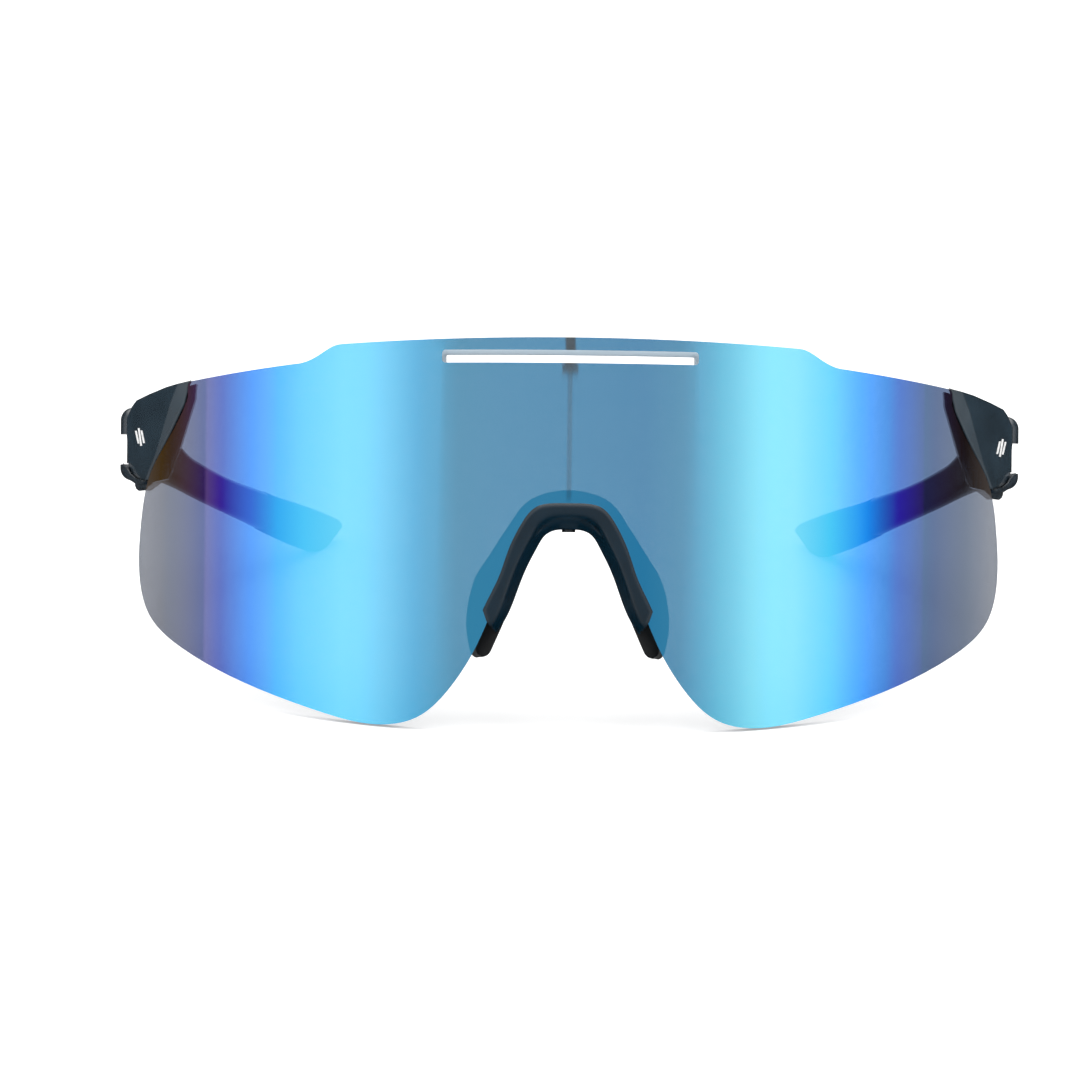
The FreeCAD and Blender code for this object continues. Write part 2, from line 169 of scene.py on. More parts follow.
link(looking.outputs["Generated"], heading.inputs["Vector"])
link(heading.outputs["X"], sideways.inputs[0])
link(sideways.outputs["Value"], turn.inputs[0])
link(heading.outputs["Y"], turn.inputs[1])
link(turn.outputs["Value"], per_turn.inputs[0])
link(per_turn.outputs["Value"], room_light.inputs["Fac"])
above = tree.nodes.new("ShaderNodeMapRange"); above.label = "1 towards the bright ceiling"
above.location = (-300, -420)
above.inputs["From Min"].default_value = 0.32
above.inputs["From Max"].default_value = 0.60
with_ceiling = tree.nodes.new("ShaderNodeMix"); with_ceiling.label = "walls, cards and ceiling"
with_ceiling.location = (-80, 200)
with_ceiling.data_type = "RGBA"
with_ceiling.inputs["B"].default_value = (1.6, 1.6, 1.6, 1)
link(heading.outputs["Z"], above.inputs["Value"])
link(above.outputs["Result"], with_ceiling.inputs["Factor"])
link(room_light.outputs["Color"], with_ceiling.inputs["A"])
seen = tree.nodes.new("ShaderNodeLightPath"); seen.label = "is it a reflection?"
seen.location = (-300, 350)
reflected = tree.nodes.new("ShaderNodeBackground"); reflected.label = "room as reflected"
reflected.location = (0, 80)
below = tree.nodes.new("ShaderNodeMapRange"); below.label = "little light from below"
below.location = (-300, -150)
below.inputs["From Min"].default_value = -0.60
below.inputs["From Max"].default_value = -0.22
below.inputs["To Min"].default_value = 0.10
below.inputs["To Max"].default_value = WHITE
link(heading.outputs["Z"], below.inputs["Value"])
link(below.outputs["Result"], reflected.inputs["Strength"])
link(with_ceiling.outputs["Result"], reflected.inputs["Color"])
backdrop = tree.nodes.new("ShaderNodeBackground"); backdrop.label = "plain white backdrop"
backdrop.location = (0, -80)
backdrop.inputs["Color"].default_value = (1, 1, 1, 1)
backdrop.inputs["Strength"].default_value = WHITE
either = tree.nodes.new("ShaderNodeMixShader"); either.label = "backdrop or room"
either.location = (250, 80)
world_out = tree.nodes.new("ShaderNodeOutputWorld"); world_out.label = "surround"
world_out.location = (450, 80)
link(seen.outputs["Is Glossy Ray"], either.inputs["Fac"])
link(backdrop.outputs["Background"], either.inputs[1])
link(reflected.outputs["Background"], either.inputs[2])
link(either.outputs["Shader"], world_out.inputs["Surface"])
for node in (looking, heading, sideways, turn, per_turn, room_light, below, above, with_ceiling):
    node.parent = studio_frame
print("surround:", len(tree.nodes), "nodes")

# %% Lamp
lamp_data = bpy.data.lights.new("overhead_soft_box", "AREA")
lamp_data.shape = "RECTANGLE"
lamp_data.size, lamp_data.size_y = 0.9, 0.6
lamp_data.energy = 3.0
lamp = bpy.data.objects.new("overhead_soft_box", lamp_data)
lamp.location = (0.0, -0.05, 0.9)
bpy.context.scene.collection.objects.link(lamp)
print("lamp: %.1f W, %.1f m wide" % (lamp_data.energy, lamp_data.size))

# %% Light stand in front, seen only in the mirror
# At arm's length before the lens stand a thin pole and the block it carries. Each part has its
# half width, foot and top in upright millimetres, then how grey it is.
STAND_BACK_MM = -350
STAND_PARTS = {"stand_pole": (3.6, 11, 46, 0.22), "stand_block": (7.5, 49, 66, 0.02),
               "stand_collar": (12, 46, 49, 0.03)}
for name, (half, low, high, grey) in STAND_PARTS.items():
    stand_paint = bpy.data.materials.new(name + "_paint")
    stand_paint.use_nodes = True
    stand_shader = stand_paint.node_tree.nodes["Principled BSDF"]
    stand_shader.inputs["Base Color"].default_value = (grey, grey * 0.9, grey * 0.9, 1)
    stand_shader.inputs["Roughness"].default_value = 0.9
    stand_shader.inputs["Specular IOR Level"].default_value = 0.0
    card = bpy.data.meshes.new(name)
    corners = ((-half, low), (half, low), (half, high), (-half, high))
    card.from_pydata([upright(x, STAND_BACK_MM, z) for x, z in corners], [], [(0, 1, 2, 3)])
    card.materials.append(stand_paint)
    stand = bpy.data.objects.new(name, card)
    bpy.context.scene.collection.objects.link(stand)
    stand.visible_camera = stand.visible_diffuse = stand.visible_shadow = False
print("stand:", len(STAND_PARTS), "cards")

# %% Picture settings
view = bpy.context.scene.view_settings
view.view_transform = "Standard"
view.look = "None"
view.exposure = 0.0
print("picture settings:", view.view_transform)

# %% [markdown]
# ## The mirrored lens
# The front of the shield carries a very thin mirror coat. Its colour across the curve is painted in
# bands that are partly the coat's own colour and partly painted reflection:
# steel blue in the middle, a bright aqua where the lens turns that is painted reflection of side
# lights, then deep blue and a smoky grey at the ends, darkened by painted reflection of the
# studio's dark sides. The two ends differ, as the painted light does. The bands run straight up and
# down, because they follow only the place across the lens.
# It is still a little see-through. The inner face has no coat, only the smoky tint. The distance
# from the cylinder's axis tells the three surfaces apart, so one material can serve the whole
# solid: outer face, inner face and cut edge.

# %% Colours across the lens
# Across the lens from the wearer's right to the left: place from 0 to 1, then the mirror colour
# with its painted reflection; the bright aqua and the dark ends are painted light and shade, and
# the two ends differ with it.
COAT_AND_PAINTED_REFLECTION_BANDS = [
    (0.000, (0.300, 0.240, 0.210)), (0.035, (0.205, 0.102, 0.012)), (0.090, (0.043, 0.012, 0.134)),
    (0.093, (0.122, 0.059, 0.252)), (0.112, (0.051, 0.012, 0.413)), (0.148, (0.063, 0.218, 1.000)),
    (0.180, (0.041, 0.460, 0.994)), (0.210, (0.077, 0.588, 0.994)), (0.255, (0.142, 0.683, 0.975)),
    (0.300, (0.138, 0.646, 1.000)), (0.335, (0.082, 0.579, 1.000)), (0.370, (0.092, 0.589, 1.000)),
    (0.430, (0.090, 0.558, 1.000)), (0.580, (0.055, 0.482, 0.945)), (0.625, (0.102, 0.582, 1.000)),
    (0.660, (0.126, 0.680, 1.000)), (0.700, (0.201, 0.784, 1.000)), (0.745, (0.192, 0.742, 0.991)),
    (0.785, (0.072, 0.614, 0.975)), (0.830, (0.012, 0.292, 1.000)), (0.865, (0.031, 0.012, 0.481)),
    (0.895, (0.028, 0.012, 0.157)), (0.898, (0.013, 0.012, 0.070)), (0.950, (0.030, 0.012, 0.012)),
    (1.000, (0.300, 0.240, 0.210))]

# What the tint lets through, and how much of each spot the mirror coat covers.
TINT_BANDS = [
    (0.00, (0.81, 0.85, 0.92)), (0.09, (0.39, 0.55, 0.86)), (0.15, (0.24, 0.70, 1.00)),
    (0.21, (0.98, 0.95, 0.95)), (0.35, (0.98, 1.00, 1.00)), (0.65, (0.98, 1.00, 1.00)),
    (0.79, (0.98, 0.95, 0.95)), (0.85, (0.24, 0.70, 1.00)), (0.91, (0.39, 0.55, 0.86)),
    (1.00, (0.81, 0.85, 0.92))]
COVER_BANDS = [
    (0.00, 0.60), (0.09, 0.60), (0.15, 0.58), (0.18, 0.80), (0.21, 0.85), (0.35, 0.88),
    (0.65, 0.88), (0.79, 0.85), (0.82, 0.80), (0.85, 0.58), (0.91, 0.60), (1.00, 0.60)]
print("bands:", len(COAT_AND_PAINTED_REFLECTION_BANDS), "mirror,", len(TINT_BANDS), "tint,", len(COVER_BANDS), "cover")

# %% Lens material: where on the lens
LENS_RADIUS_M = 0.088
HALF_SPAN_M = 0.072
# The faces lie at 88 and 86.2 mm from the axis; these limits leave each a little room.
OUTER_FACE_FROM_M = 0.08795
INNER_FACE_TO_M = 0.08625
SLOT_FOOT_M = 0.0272

lens_finish = bpy.data.materials.new("mirror_lens")
lens_finish.use_nodes = True
tree = lens_finish.node_tree
tree.nodes.clear()
link = tree.links.new

place_frame = tree.nodes.new("NodeFrame"); place_frame.label = "where on the lens"
where = tree.nodes.new("ShaderNodeTexCoord"); where.label = "the lens's own place"
where.location = (-1900, 100)
stood_up = tree.nodes.new("ShaderNodeMapping"); stood_up.label = "stand the lens upright"
stood_up.location = (-1700, 100)
stood_up.inputs["Rotation"].default_value = to_upright.to_euler()
stood_up.inputs["Location"].default_value = to_upright.translation
apart = tree.nodes.new("ShaderNodeSeparateXYZ"); apart.label = "across, back, up"
apart.location = (-1500, 100)
across = tree.nodes.new("ShaderNodeMapRange"); across.label = "0 at one end, 1 at the other"
across.location = (-1300, 250)
across.inputs["From Min"].default_value = -HALF_SPAN_M
across.inputs["From Max"].default_value = HALF_SPAN_M
link(where.outputs["Object"], stood_up.inputs["Vector"])
link(stood_up.outputs["Vector"], apart.inputs["Vector"])
link(apart.outputs["X"], across.inputs["Value"])

axis_frame = tree.nodes.new("NodeFrame"); axis_frame.label = "which surface of the shield"
from_axis = tree.nodes.new("ShaderNodeVectorMath")
from_axis.label = "place seen from the cylinder's axis"
from_axis.location = (-1300, -150)
from_axis.operation = "SUBTRACT"
from_axis.inputs[1].default_value = (0, LENS_RADIUS_M, 0)
flat = tree.nodes.new("ShaderNodeVectorMath"); flat.label = "leave the height out"
flat.location = (-1100, -150)
flat.operation = "MULTIPLY"
flat.inputs[1].default_value = (1, 1, 0)
reach = tree.nodes.new("ShaderNodeVectorMath"); reach.label = "distance from the axis"
reach.location = (-900, -150)
reach.operation = "LENGTH"
is_outer = tree.nodes.new("ShaderNodeMath"); is_outer.label = "1 on the coated outer face"
is_outer.location = (-700, -80)
is_outer.operation = "GREATER_THAN"
is_outer.inputs[1].default_value = OUTER_FACE_FROM_M
is_inner = tree.nodes.new("ShaderNodeMath"); is_inner.label = "1 on the inner face"
is_inner.location = (-700, -260)
is_inner.operation = "LESS_THAN"
is_inner.inputs[1].default_value = INNER_FACE_TO_M
link(stood_up.outputs["Vector"], from_axis.inputs[0])
link(from_axis.outputs["Vector"], flat.inputs[0])
link(flat.outputs["Vector"], reach.inputs[0])
link(reach.outputs["Value"], is_outer.inputs[0])
link(reach.outputs["Value"], is_inner.inputs[0])
print("lens place:", len(tree.nodes), "nodes")

# %% Lens material: mirror coat with painted reflection, over tint
coat_frame = tree.nodes.new("NodeFrame"); coat_frame.label = "mirror coat and tint"
# These bands hold the coat colour together with painted reflection of the studio's light and dark
# sides.
coat_and_reflection_bands = tree.nodes.new("ShaderNodeValToRGB")
coat_and_reflection_bands.label = "mirror colour across the lens"
coat_and_reflection_bands.location = (-1000, 700)
fill_ramp(coat_and_reflection_bands, COAT_AND_PAINTED_REFLECTION_BANDS)
tint_bands = tree.nodes.new("ShaderNodeValToRGB"); tint_bands.label = "what the tint lets through"
tint_bands.location = (-1000, 450)
fill_ramp(tint_bands, TINT_BANDS)
cover_bands = tree.nodes.new("ShaderNodeValToRGB"); cover_bands.label = "how much the coat covers"
cover_bands.location = (-1000, 200)
fill_ramp(cover_bands, COVER_BANDS)
for ramp_node in (coat_and_reflection_bands, tint_bands, cover_bands):
    link(across.outputs["Result"], ramp_node.inputs["Fac"])

coat = tree.nodes.new("ShaderNodeBsdfPrincipled"); coat.label = "mirror coat"
coat.location = (-400, 700)
coat.inputs["Metallic"].default_value = 1.0
coat.inputs["Roughness"].default_value = 0.04
# The coat takes its colour, painted reflection included, from the bands.
link(coat_and_reflection_bands.outputs["Color"], coat.inputs["Base Color"])
tinted_view = tree.nodes.new("ShaderNodeBsdfTransparent")
tinted_view.label = "see through the tint"
tinted_view.location = (-400, 350)
link(tint_bands.outputs["Color"], tinted_view.inputs["Color"])
coated = tree.nodes.new("ShaderNodeMixShader"); coated.label = "coat over tint"
coated.location = (-100, 500)
link(cover_bands.outputs["Color"], coated.inputs["Fac"])
link(tinted_view.outputs["BSDF"], coated.inputs[1])
link(coat.outputs["BSDF"], coated.inputs[2])
print("lens coat:", len(tree.nodes), "nodes so far")

# %% Lens material: inner face and cut edges
# The cut edges above the slot's foot are painted pale, a painted glow standing for light that runs
# along inside the shield and comes out there;
# the lower ones keep a dark colour.
inner_frame = tree.nodes.new("NodeFrame"); inner_frame.label = "smoky inner face"
smoke = tree.nodes.new("ShaderNodeBsdfPrincipled"); smoke.label = "smoky plastic"
smoke.location = (-400, 50)
smoke.inputs["Base Color"].default_value = (0.018, 0.022, 0.028, 1)
smoke.inputs["Roughness"].default_value = 0.06
smoke.inputs["Coat Weight"].default_value = 0.5
smoke.inputs["Coat Roughness"].default_value = 0.03
smoke_view = tree.nodes.new("ShaderNodeBsdfTransparent")
smoke_view.label = "see through the smoke"
smoke_view.location = (-400, -120)
smoke_view.inputs["Color"].default_value = (0.75, 0.8, 0.85, 1)
smoked = tree.nodes.new("ShaderNodeMixShader"); smoked.label = "smoke, a little see-through"
smoked.location = (-100, 50)
smoked.inputs["Fac"].default_value = 0.78
link(smoke_view.outputs["BSDF"], smoked.inputs[1])
link(smoke.outputs["BSDF"], smoked.inputs[2])

edge_frame = tree.nodes.new("NodeFrame"); edge_frame.label = "cut edge"
edge = tree.nodes.new("ShaderNodeBsdfPrincipled"); edge.label = "polished cut edge"
edge.location = (-400, -350)
edge.inputs["Base Color"].default_value = (0.02, 0.05, 0.10, 1)
edge.inputs["Roughness"].default_value = 0.22
# Painted glow: a pale colour on the upper cut edges in place of light coming out of them.
painted_glow_edge = tree.nodes.new("ShaderNodeBsdfPrincipled")
painted_glow_edge.label = "upper edges, lit through the plastic"
painted_glow_edge.location = (-400, -600)
painted_glow_edge.inputs["Base Color"].default_value = (0.50, 0.58, 0.64, 1)
painted_glow_edge.inputs["Roughness"].default_value = 0.3
high_up = tree.nodes.new("ShaderNodeMath"); high_up.label = "1 above the slot's foot"
high_up.location = (-700, -450)
high_up.operation = "GREATER_THAN"
high_up.inputs[1].default_value = SLOT_FOOT_M
# Pale painted glow on the edges above the slot's foot, dark edge colour below.
edges = tree.nodes.new("ShaderNodeMixShader"); edges.label = "dark or lit edge"
edges.location = (-100, -400)
link(apart.outputs["Z"], high_up.inputs[0])
link(high_up.outputs["Value"], edges.inputs["Fac"])
link(edge.outputs["BSDF"], edges.inputs[1])
link(painted_glow_edge.outputs["BSDF"], edges.inputs[2])
print("lens inside and edges:", len(tree.nodes), "nodes so far")

# %% [markdown]
# ### Each surface in its place
# A ray that passes through the shield meets two faces. The first one it meets shows its coat
# or smoke; on the way out the plastic only tints it, so nothing is counted twice.

# %% Lens material: surfaces together
choose_frame = tree.nodes.new("NodeFrame"); choose_frame.label = "put each surface in its place"
outer_or_edge = tree.nodes.new("ShaderNodeMixShader"); outer_or_edge.label = "outer face or edge"
outer_or_edge.location = (150, 250)
any_surface = tree.nodes.new("ShaderNodeMixShader"); any_surface.label = "or inner face"
any_surface.location = (350, 150)
link(is_outer.outputs["Value"], outer_or_edge.inputs["Fac"])
link(edges.outputs["Shader"], outer_or_edge.inputs[1])
link(coated.outputs["Shader"], outer_or_edge.inputs[2])
link(is_inner.outputs["Value"], any_surface.inputs["Fac"])
link(outer_or_edge.outputs["Shader"], any_surface.inputs[1])
link(smoked.outputs["Shader"], any_surface.inputs[2])

side = tree.nodes.new("ShaderNodeNewGeometry"); side.label = "seen from within the solid?"
side.location = (350, 420)
clear = tree.nodes.new("ShaderNodeBsdfTransparent")
clear.label = "tint of the plastic, on the way out"
clear.location = (350, -60)
clear.inputs["Color"].default_value = (0.49, 0.52, 0.55, 1)
both_ways = tree.nodes.new("ShaderNodeMixShader"); both_ways.label = "each face counts once"
both_ways.location = (600, 150)
lens_out = tree.nodes.new("ShaderNodeOutputMaterial"); lens_out.label = "lens"
lens_out.location = (800, 150)
link(side.outputs["Backfacing"], both_ways.inputs["Fac"])
link(any_surface.outputs["Shader"], both_ways.inputs[1])
link(clear.outputs["BSDF"], both_ways.inputs[2])
link(both_ways.outputs["Shader"], lens_out.inputs["Surface"])

for group, members in ((place_frame, (where, stood_up, apart, across)),
                       (axis_frame, (from_axis, flat, reach, is_outer, is_inner)),
                       (coat_frame, (coat_and_reflection_bands, tint_bands, cover_bands, coat, tinted_view,
                                     coated)),
                       (inner_frame, (smoke, smoke_view, smoked)),
                       (edge_frame, (edge, painted_glow_edge, high_up, edges)),
                       (choose_frame, (outer_or_edge, any_surface, side, clear, both_ways))):
    for member in members:
        member.parent = group
nodes["lens"].data.materials[0] = lens_finish
print("lens material:", len(tree.nodes), "nodes")

# %% [markdown]
# ## Moulded plastic
# The end pieces, their covers, the nose clip and the temples are all injection-moulded nylon
# of the same dark blue-black. The mould gives some faces a polish and others a fine satin
# texture. One make-up serves them all: a base colour with slight blotches, a very fine
# grain for the satin ones, and a clear coat for the polished ones. Edges are softened
# in the shading, because a moulded edge is never knife sharp.

# %% Moulded plastic
def moulded_plastic(name, colour, roughness, coat_weight, grain, edge_radius, sink):
    """Dark nylon: how rough, how much clear coat, how strong its grain, and in metres the
    radius of its edges and the depth of its sink marks."""
    material = bpy.data.materials.new(name)
    material.use_nodes = True
    tree = material.node_tree
    tree.nodes.clear()
    link = tree.links.new

    colour_frame = tree.nodes.new("NodeFrame"); colour_frame.label = "slightly blotchy colour"
    place = tree.nodes.new("ShaderNodeTexCoord"); place.label = "place on the piece"
    blotch = tree.nodes.new("ShaderNodeTexNoise"); blotch.label = "flow marks in the moulding"
    blotch.inputs["Scale"].default_value = 160.0
    blotch.inputs["Detail"].default_value = 1.0
    shade = tree.nodes.new("ShaderNodeValToRGB"); shade.label = "a little darker or lighter"
    shade.color_ramp.elements[0].position = 0.3
    shade.color_ramp.elements[0].color = (*[v * 0.82 for v in colour], 1)
    shade.color_ramp.elements[1].position = 0.72
    shade.color_ramp.elements[1].color = (*[v * 1.2 for v in colour], 1)
    link(place.outputs["Object"], blotch.inputs["Vector"])
    link(blotch.outputs["Fac"], shade.inputs["Fac"])

    grain_frame = tree.nodes.new("NodeFrame"); grain_frame.label = "mould grain and soft edges"
    sand = tree.nodes.new("ShaderNodeTexNoise"); sand.label = "fine mould grain"
    sand.inputs["Scale"].default_value = 2600.0
    sand.inputs["Detail"].default_value = 3.0
    soft_edge = tree.nodes.new("ShaderNodeBevel"); soft_edge.label = "moulded edge radius"
    soft_edge.samples = 6
    soft_edge.inputs["Radius"].default_value = edge_radius
    bump = tree.nodes.new("ShaderNodeBump"); bump.label = "grain as bumps"
    bump.inputs["Strength"].default_value = grain
    bump.inputs["Distance"].default_value = 0.00004
    sunk = tree.nodes.new("ShaderNodeBump"); sunk.label = "faint sink marks"
    sunk.inputs["Strength"].default_value = 1.0
    sunk.inputs["Distance"].default_value = sink
    rough = tree.nodes.new("ShaderNodeMapRange"); rough.label = "sheen varies a little"
    rough.inputs["To Min"].default_value = roughness * 0.8
    rough.inputs["To Max"].default_value = roughness * 1.25
    link(place.outputs["Object"], sand.inputs["Vector"])
    link(sand.outputs["Fac"], bump.inputs["Height"])
    link(blotch.outputs["Fac"], sunk.inputs["Height"])
    link(soft_edge.outputs["Normal"], sunk.inputs["Normal"])
    link(sunk.outputs["Normal"], bump.inputs["Normal"])
    link(blotch.outputs["Fac"], rough.inputs["Value"])

    shader = tree.nodes.new("ShaderNodeBsdfPrincipled"); shader.label = "nylon"
    shader.inputs["Coat Weight"].default_value = coat_weight
    shader.inputs["Coat Roughness"].default_value = 0.06
    shader.inputs["Specular IOR Level"].default_value = 0.5
    out = tree.nodes.new("ShaderNodeOutputMaterial"); out.label = "plastic"
    link(shade.outputs["Color"], shader.inputs["Base Color"])
    link(rough.outputs["Result"], shader.inputs["Roughness"])
    link(bump.outputs["Normal"], shader.inputs["Normal"])
    link(shader.outputs["BSDF"], out.inputs["Surface"])

    for x, y, node in ((-900, 0, place), (-650, 200, blotch), (-400, 200, shade),
                       (-650, -150, sand), (-650, -350, soft_edge), (-450, -350, sunk),
                       (-250, -200, bump), (-300, 0, rough), (0, 100, shader), (300, 100, out)):
        node.location = (x, y)
    for node in (place, blotch, shade):
        node.parent = colour_frame
    for node in (sand, soft_edge, sunk, bump, rough):
        node.parent = grain_frame
    print("plastic", name, "roughness", roughness)
    return material


# %% The four plastics
# Colour, roughness, clear coat, grain, edge radius and depth of sink marks.
gloss_frame = moulded_plastic(
    "gloss_frame", (0.015, 0.028, 0.040), 0.13, 0.15, 0.04, edge_radius=0.0007, sink=0.00020)
clip_gloss = moulded_plastic(
    "clip_gloss", (0.001, 0.011, 0.021), 0.12, 0.1, 0.04, edge_radius=0.0011, sink=0.00004)
matte_frame = moulded_plastic(
    "matte_frame", (0.014, 0.024, 0.034), 0.20, 0.8, 0.1, edge_radius=0.0006, sink=0.00010)
temple_plastic = moulded_plastic(
    "temple_plastic", (0.013, 0.023, 0.033), 0.24, 0.8, 0.15, edge_radius=0.0006, sink=0.00008)

nodes["nose_clip"].data.materials[0] = clip_gloss
for wearer_side in ("left", "right"):
    nodes[wearer_side + "_end_cover"].data.materials[0] = gloss_frame
    nodes[wearer_side + "_end_piece"].data.materials[0] = matte_frame
    nodes[wearer_side + "_temple_arm"].data.materials[0] = temple_plastic

# %% [markdown]
# ## Soft rubber
# The nose saddle and the temple tips are a soft moulded rubber that grips when wet. It is
# almost black and quite dull, with a powdery sheen at a glancing look and the faint pebbling of
# its mould. Rubber hardly reflects, so the roughness is high, and a little sheen gives the
# pale bloom along its turned edges.

# %% Rubber
def soft_rubber(name, colour, roughness):
    """Dull rubber with a pebbled skin and handled patches."""
    material = bpy.data.materials.new(name)
    material.use_nodes = True
    tree = material.node_tree
    tree.nodes.clear()
    link = tree.links.new

    skin_frame = tree.nodes.new("NodeFrame"); skin_frame.label = "pebbled skin"
    place = tree.nodes.new("ShaderNodeTexCoord"); place.label = "place on the piece"
    pebble = tree.nodes.new("ShaderNodeTexVoronoi"); pebble.label = "fine pebbling"
    pebble.inputs["Scale"].default_value = 2200.0
    dust = tree.nodes.new("ShaderNodeTexNoise"); dust.label = "skin wear and dust"
    dust.inputs["Scale"].default_value = 240.0
    dust.inputs["Detail"].default_value = 5.0
    bump = tree.nodes.new("ShaderNodeBump"); bump.label = "pebbles as bumps"
    bump.inputs["Strength"].default_value = 0.3
    bump.inputs["Distance"].default_value = 0.00005
    link(place.outputs["Object"], pebble.inputs["Vector"])
    link(place.outputs["Object"], dust.inputs["Vector"])
    link(pebble.outputs["Distance"], bump.inputs["Height"])

    colour_frame = tree.nodes.new("NodeFrame"); colour_frame.label = "worn colour"
    shade = tree.nodes.new("ShaderNodeValToRGB"); shade.label = "handled and clean patches"
    shade.color_ramp.elements[0].position = 0.35
    shade.color_ramp.elements[0].color = (*[v * 0.8 for v in colour], 1)
    shade.color_ramp.elements[1].position = 0.75
    shade.color_ramp.elements[1].color = (*[v * 1.5 for v in colour], 1)
    rough = tree.nodes.new("ShaderNodeMapRange"); rough.label = "handled patches shine more"
    rough.inputs["To Min"].default_value = roughness - 0.1
    rough.inputs["To Max"].default_value = roughness + 0.08
    link(dust.outputs["Fac"], shade.inputs["Fac"])
    link(dust.outputs["Fac"], rough.inputs["Value"])

    shader = tree.nodes.new("ShaderNodeBsdfPrincipled"); shader.label = "rubber"
    shader.inputs["Specular IOR Level"].default_value = 0.35
    shader.inputs["Sheen Weight"].default_value = 0.03
    shader.inputs["Sheen Roughness"].default_value = 0.4
    out = tree.nodes.new("ShaderNodeOutputMaterial"); out.label = "soft rubber"
    link(shade.outputs["Color"], shader.inputs["Base Color"])
    link(rough.outputs["Result"], shader.inputs["Roughness"])
    link(bump.outputs["Normal"], shader.inputs["Normal"])
    link(shader.outputs["BSDF"], out.inputs["Surface"])

    for x, y, node in ((-900, 0, place), (-650, 150, pebble), (-650, -150, dust),
                       (-300, 250, bump), (-350, -50, shade), (-350, -300, rough),
                       (0, 50, shader), (300, 50, out)):
        node.location = (x, y)
    for node in (place, pebble, dust, bump):
        node.parent = skin_frame
    for node in (shade, rough):
        node.parent = colour_frame
    print("rubber", name, "roughness", roughness)
    return material


# %% Rubber pieces
soft_black = soft_rubber("soft_rubber", (0.005, 0.006, 0.007), 0.58)
for node_name in ("nose_pad", "left_temple_tip", "right_temple_tip"):
    nodes[node_name].data.materials[0] = soft_black
print("rubber on", soft_black.users, "pieces")

# %% [markdown]
# ## Small metal
# The screws and the core wires are stainless steel, and the threaded inserts in the hinges are
# brass. Turned metal shows fine rings left by the tool, so the roughness and a slight bump
# follow a stretched noise, and the colour is that of bare metal.

# %% Turned metal
def turned_metal(name, colour, roughness):
    """Bare metal with the rings a turning tool leaves."""
    material = bpy.data.materials.new(name)
    material.use_nodes = True
    tree = material.node_tree
    tree.nodes.clear()
    link = tree.links.new

    rings_frame = tree.nodes.new("NodeFrame"); rings_frame.label = "tool marks"
    place = tree.nodes.new("ShaderNodeTexCoord"); place.label = "place on the piece"
    squeeze = tree.nodes.new("ShaderNodeMapping"); squeeze.label = "marks run round the pin"
    squeeze.inputs["Scale"].default_value = (600, 600, 9000)
    marks = tree.nodes.new("ShaderNodeTexNoise"); marks.label = "tool marks"
    marks.inputs["Scale"].default_value = 1.0
    marks.inputs["Detail"].default_value = 3.0
    bump = tree.nodes.new("ShaderNodeBump"); bump.label = "marks as grooves"
    bump.inputs["Strength"].default_value = 0.15
    bump.inputs["Distance"].default_value = 0.00002
    rough = tree.nodes.new("ShaderNodeMapRange"); rough.label = "grooves scatter more"
    rough.inputs["To Min"].default_value = roughness * 0.7
    rough.inputs["To Max"].default_value = roughness * 1.4
    link(place.outputs["Object"], squeeze.inputs["Vector"])
    link(squeeze.outputs["Vector"], marks.inputs["Vector"])
    link(marks.outputs["Fac"], bump.inputs["Height"])
    link(marks.outputs["Fac"], rough.inputs["Value"])

    shader = tree.nodes.new("ShaderNodeBsdfPrincipled"); shader.label = "bare metal"
    shader.inputs["Base Color"].default_value = (*colour, 1)
    shader.inputs["Metallic"].default_value = 1.0
    out = tree.nodes.new("ShaderNodeOutputMaterial"); out.label = "metal"
    link(rough.outputs["Result"], shader.inputs["Roughness"])
    link(bump.outputs["Normal"], shader.inputs["Normal"])
    link(shader.outputs["BSDF"], out.inputs["Surface"])

    for x, y, node in ((-900, 0, place), (-700, 0, squeeze), (-500, 0, marks), (-250, 100, bump),
                       (-250, -120, rough), (0, 0, shader), (300, 0, out)):
        node.location = (x, y)
    for node in (place, squeeze, marks, bump, rough):
        node.parent = rings_frame
    print("metal", name)
    return material


# %% Screws, wires and inserts
steel = turned_metal("steel", (0.52, 0.53, 0.55), 0.28)
brass = turned_metal("brass", (0.72, 0.55, 0.28), 0.3)
black_steel = turned_metal("blackened_steel", (0.06, 0.065, 0.07), 0.35)
nodes["nose_clip_screw"].data.materials[0] = black_steel
for wearer_side in ("left", "right"):
    for part in ("cover_screw", "tip_core_wire", "hinge_screw"):
        nodes[wearer_side + "_" + part].data.materials[0] = steel
    nodes[wearer_side + "_hinge_insert"].data.materials[0] = brass

# %% [markdown]
# ## Nose saddle
# The saddle is a soft moulded wall that hugs the bridge of the nose. It starts against the back
# of the nose clip, close round the opening, and flares out towards the face, with a rolled rim and
# round feet. It is swept from one section, a thin wall with a rolled end, along the two lines it
# joins, so its thickness stays even. Low ribs on the inside grip the skin.

# %% Two lines of the saddle
# Half outlines in upright millimetres, across and up, from the bridge to the foot of one leg.
SADDLE_NEAR = [(0, 4.2), (3.4, 3.3), (6.0, 0.4), (7.7, -3.6), (9.2, -7.6), (10.5, -11.6),
               (11.8, -14.6), (13.0, -17.0)]
SADDLE_FAR = [(0, 7.0), (5.8, 5.5), (9.1, 1.2), (11.6, -2.6), (14.0, -6.4), (15.0, -10.0),
              (15.2, -13.8), (14.4, -17.6)]
SADDLE_BACK_MM = 13.8
STEPS = 113


